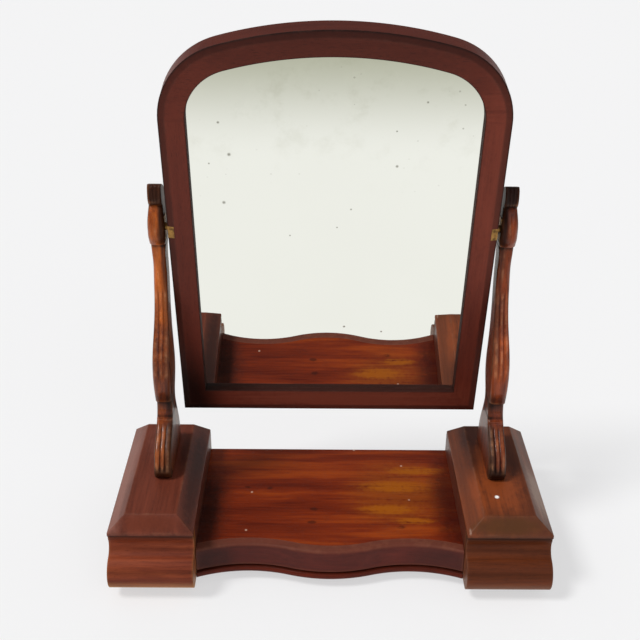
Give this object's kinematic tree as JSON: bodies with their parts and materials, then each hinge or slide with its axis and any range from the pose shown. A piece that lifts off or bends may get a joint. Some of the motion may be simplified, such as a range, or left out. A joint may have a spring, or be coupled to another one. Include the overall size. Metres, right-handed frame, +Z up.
{
  "type": "vanity mirror with drawer",
  "caption": "Arch-topped swing mirror on scroll posts over two small ogee-front drawers joined by a serpentine-fronted shelf.",
  "frame": {"origin": "on the floor, under the middle of the overall box", "axes": "+Z up; -Y is the front, where the drawers come out; +X is to the right of someone facing the mirror"},
  "size_m": [0.56, 0.2689, 0.6902],
  "materials": {
    "lid_mahogany": "aged french polish, satin",
    "carcass_mahogany": "aged french polish, satin",
    "drawer_front_mahogany": "aged french polish, worn lower edge",
    "drawer_lining": "bare, planed",
    "foot_wood": "stained, dull",
    "shelf_mahogany": "aged french polish, glossy",
    "rail_mahogany": "aged french polish, satin",
    "softwood": "bare, sawn",
    "backboard_wood": "bare, planed",
    "post_mahogany": "french polish, glossy",
    "frame_mahogany": "aged french polish, satin",
    "silvered_glass": "aged silvered plate",
    "steel": "dull",
    "brass": "tarnished"
  },
  "bodies": {
    "stand": {"glue_blocks": "softwood", "left_back_foot": "foot_wood", "left_front_foot": "foot_wood", "left_pivot_pin": "brass", "left_plinth_back": "carcass_mahogany", "left_plinth_bottom": "carcass_mahogany", "left_plinth_inner_side": "carcass_mahogany", "left_plinth_lid": "lid_mahogany", "left_plinth_outer_side": "carcass_mahogany", "left_post": "post_mahogany", "left_post_plate": "brass", "post_plate_screws": "brass", "post_screws": "steel", "right_back_foot": "foot_wood", "right_front_foot": "foot_wood", "right_pivot_pin": "brass", "right_plinth_back": "carcass_mahogany", "right_plinth_bottom": "carcass_mahogany", "right_plinth_inner_side": "carcass_mahogany", "right_plinth_lid": "lid_mahogany", "right_plinth_outer_side": "carcass_mahogany", "right_post": "post_mahogany", "right_post_plate": "brass", "serpentine_moulding": "rail_mahogany", "serpentine_rail": "rail_mahogany", "shelf": "shelf_mahogany", "shelf_back_rail": "softwood"},
    "left_drawer": {"left_drawer_back": "drawer_lining", "left_drawer_bottom": "drawer_lining", "left_drawer_front": "drawer_front_mahogany", "left_drawer_left_side": "drawer_lining", "left_drawer_right_side": "drawer_lining"},
    "right_drawer": {"right_drawer_back": "drawer_lining", "right_drawer_bottom": "drawer_lining", "right_drawer_front": "drawer_front_mahogany", "right_drawer_left_side": "drawer_lining", "right_drawer_right_side": "drawer_lining"},
    "mirror": {"backboard": "backboard_wood", "backboard_screws": "brass", "frame_arch": "frame_mahogany", "frame_bottom_rail": "frame_mahogany", "frame_left_stile": "frame_mahogany", "frame_right_stile": "frame_mahogany", "glass_blocks": "softwood", "left_pivot_block": "brass", "mirror_glass": "silvered_glass", "pivot_block_screws": "brass", "right_pivot_block": "brass"}
  },
  "joints": [
    {"name": "mirror_tilt", "type": "hinge", "parent": "stand", "child": "mirror", "pos_m": [0, 0.06805, 0.431], "axis": [1, 0, 0], "continuous": true},
    {"name": "left_drawer_slide", "type": "slide", "parent": "stand", "child": "left_drawer", "axis": [0, -1, 0], "range_m": [0, 0.14]},
    {"name": "right_drawer_slide", "type": "slide", "parent": "stand", "child": "right_drawer", "axis": [0, -1, 0], "range_m": [0, 0.14]}
  ]
}
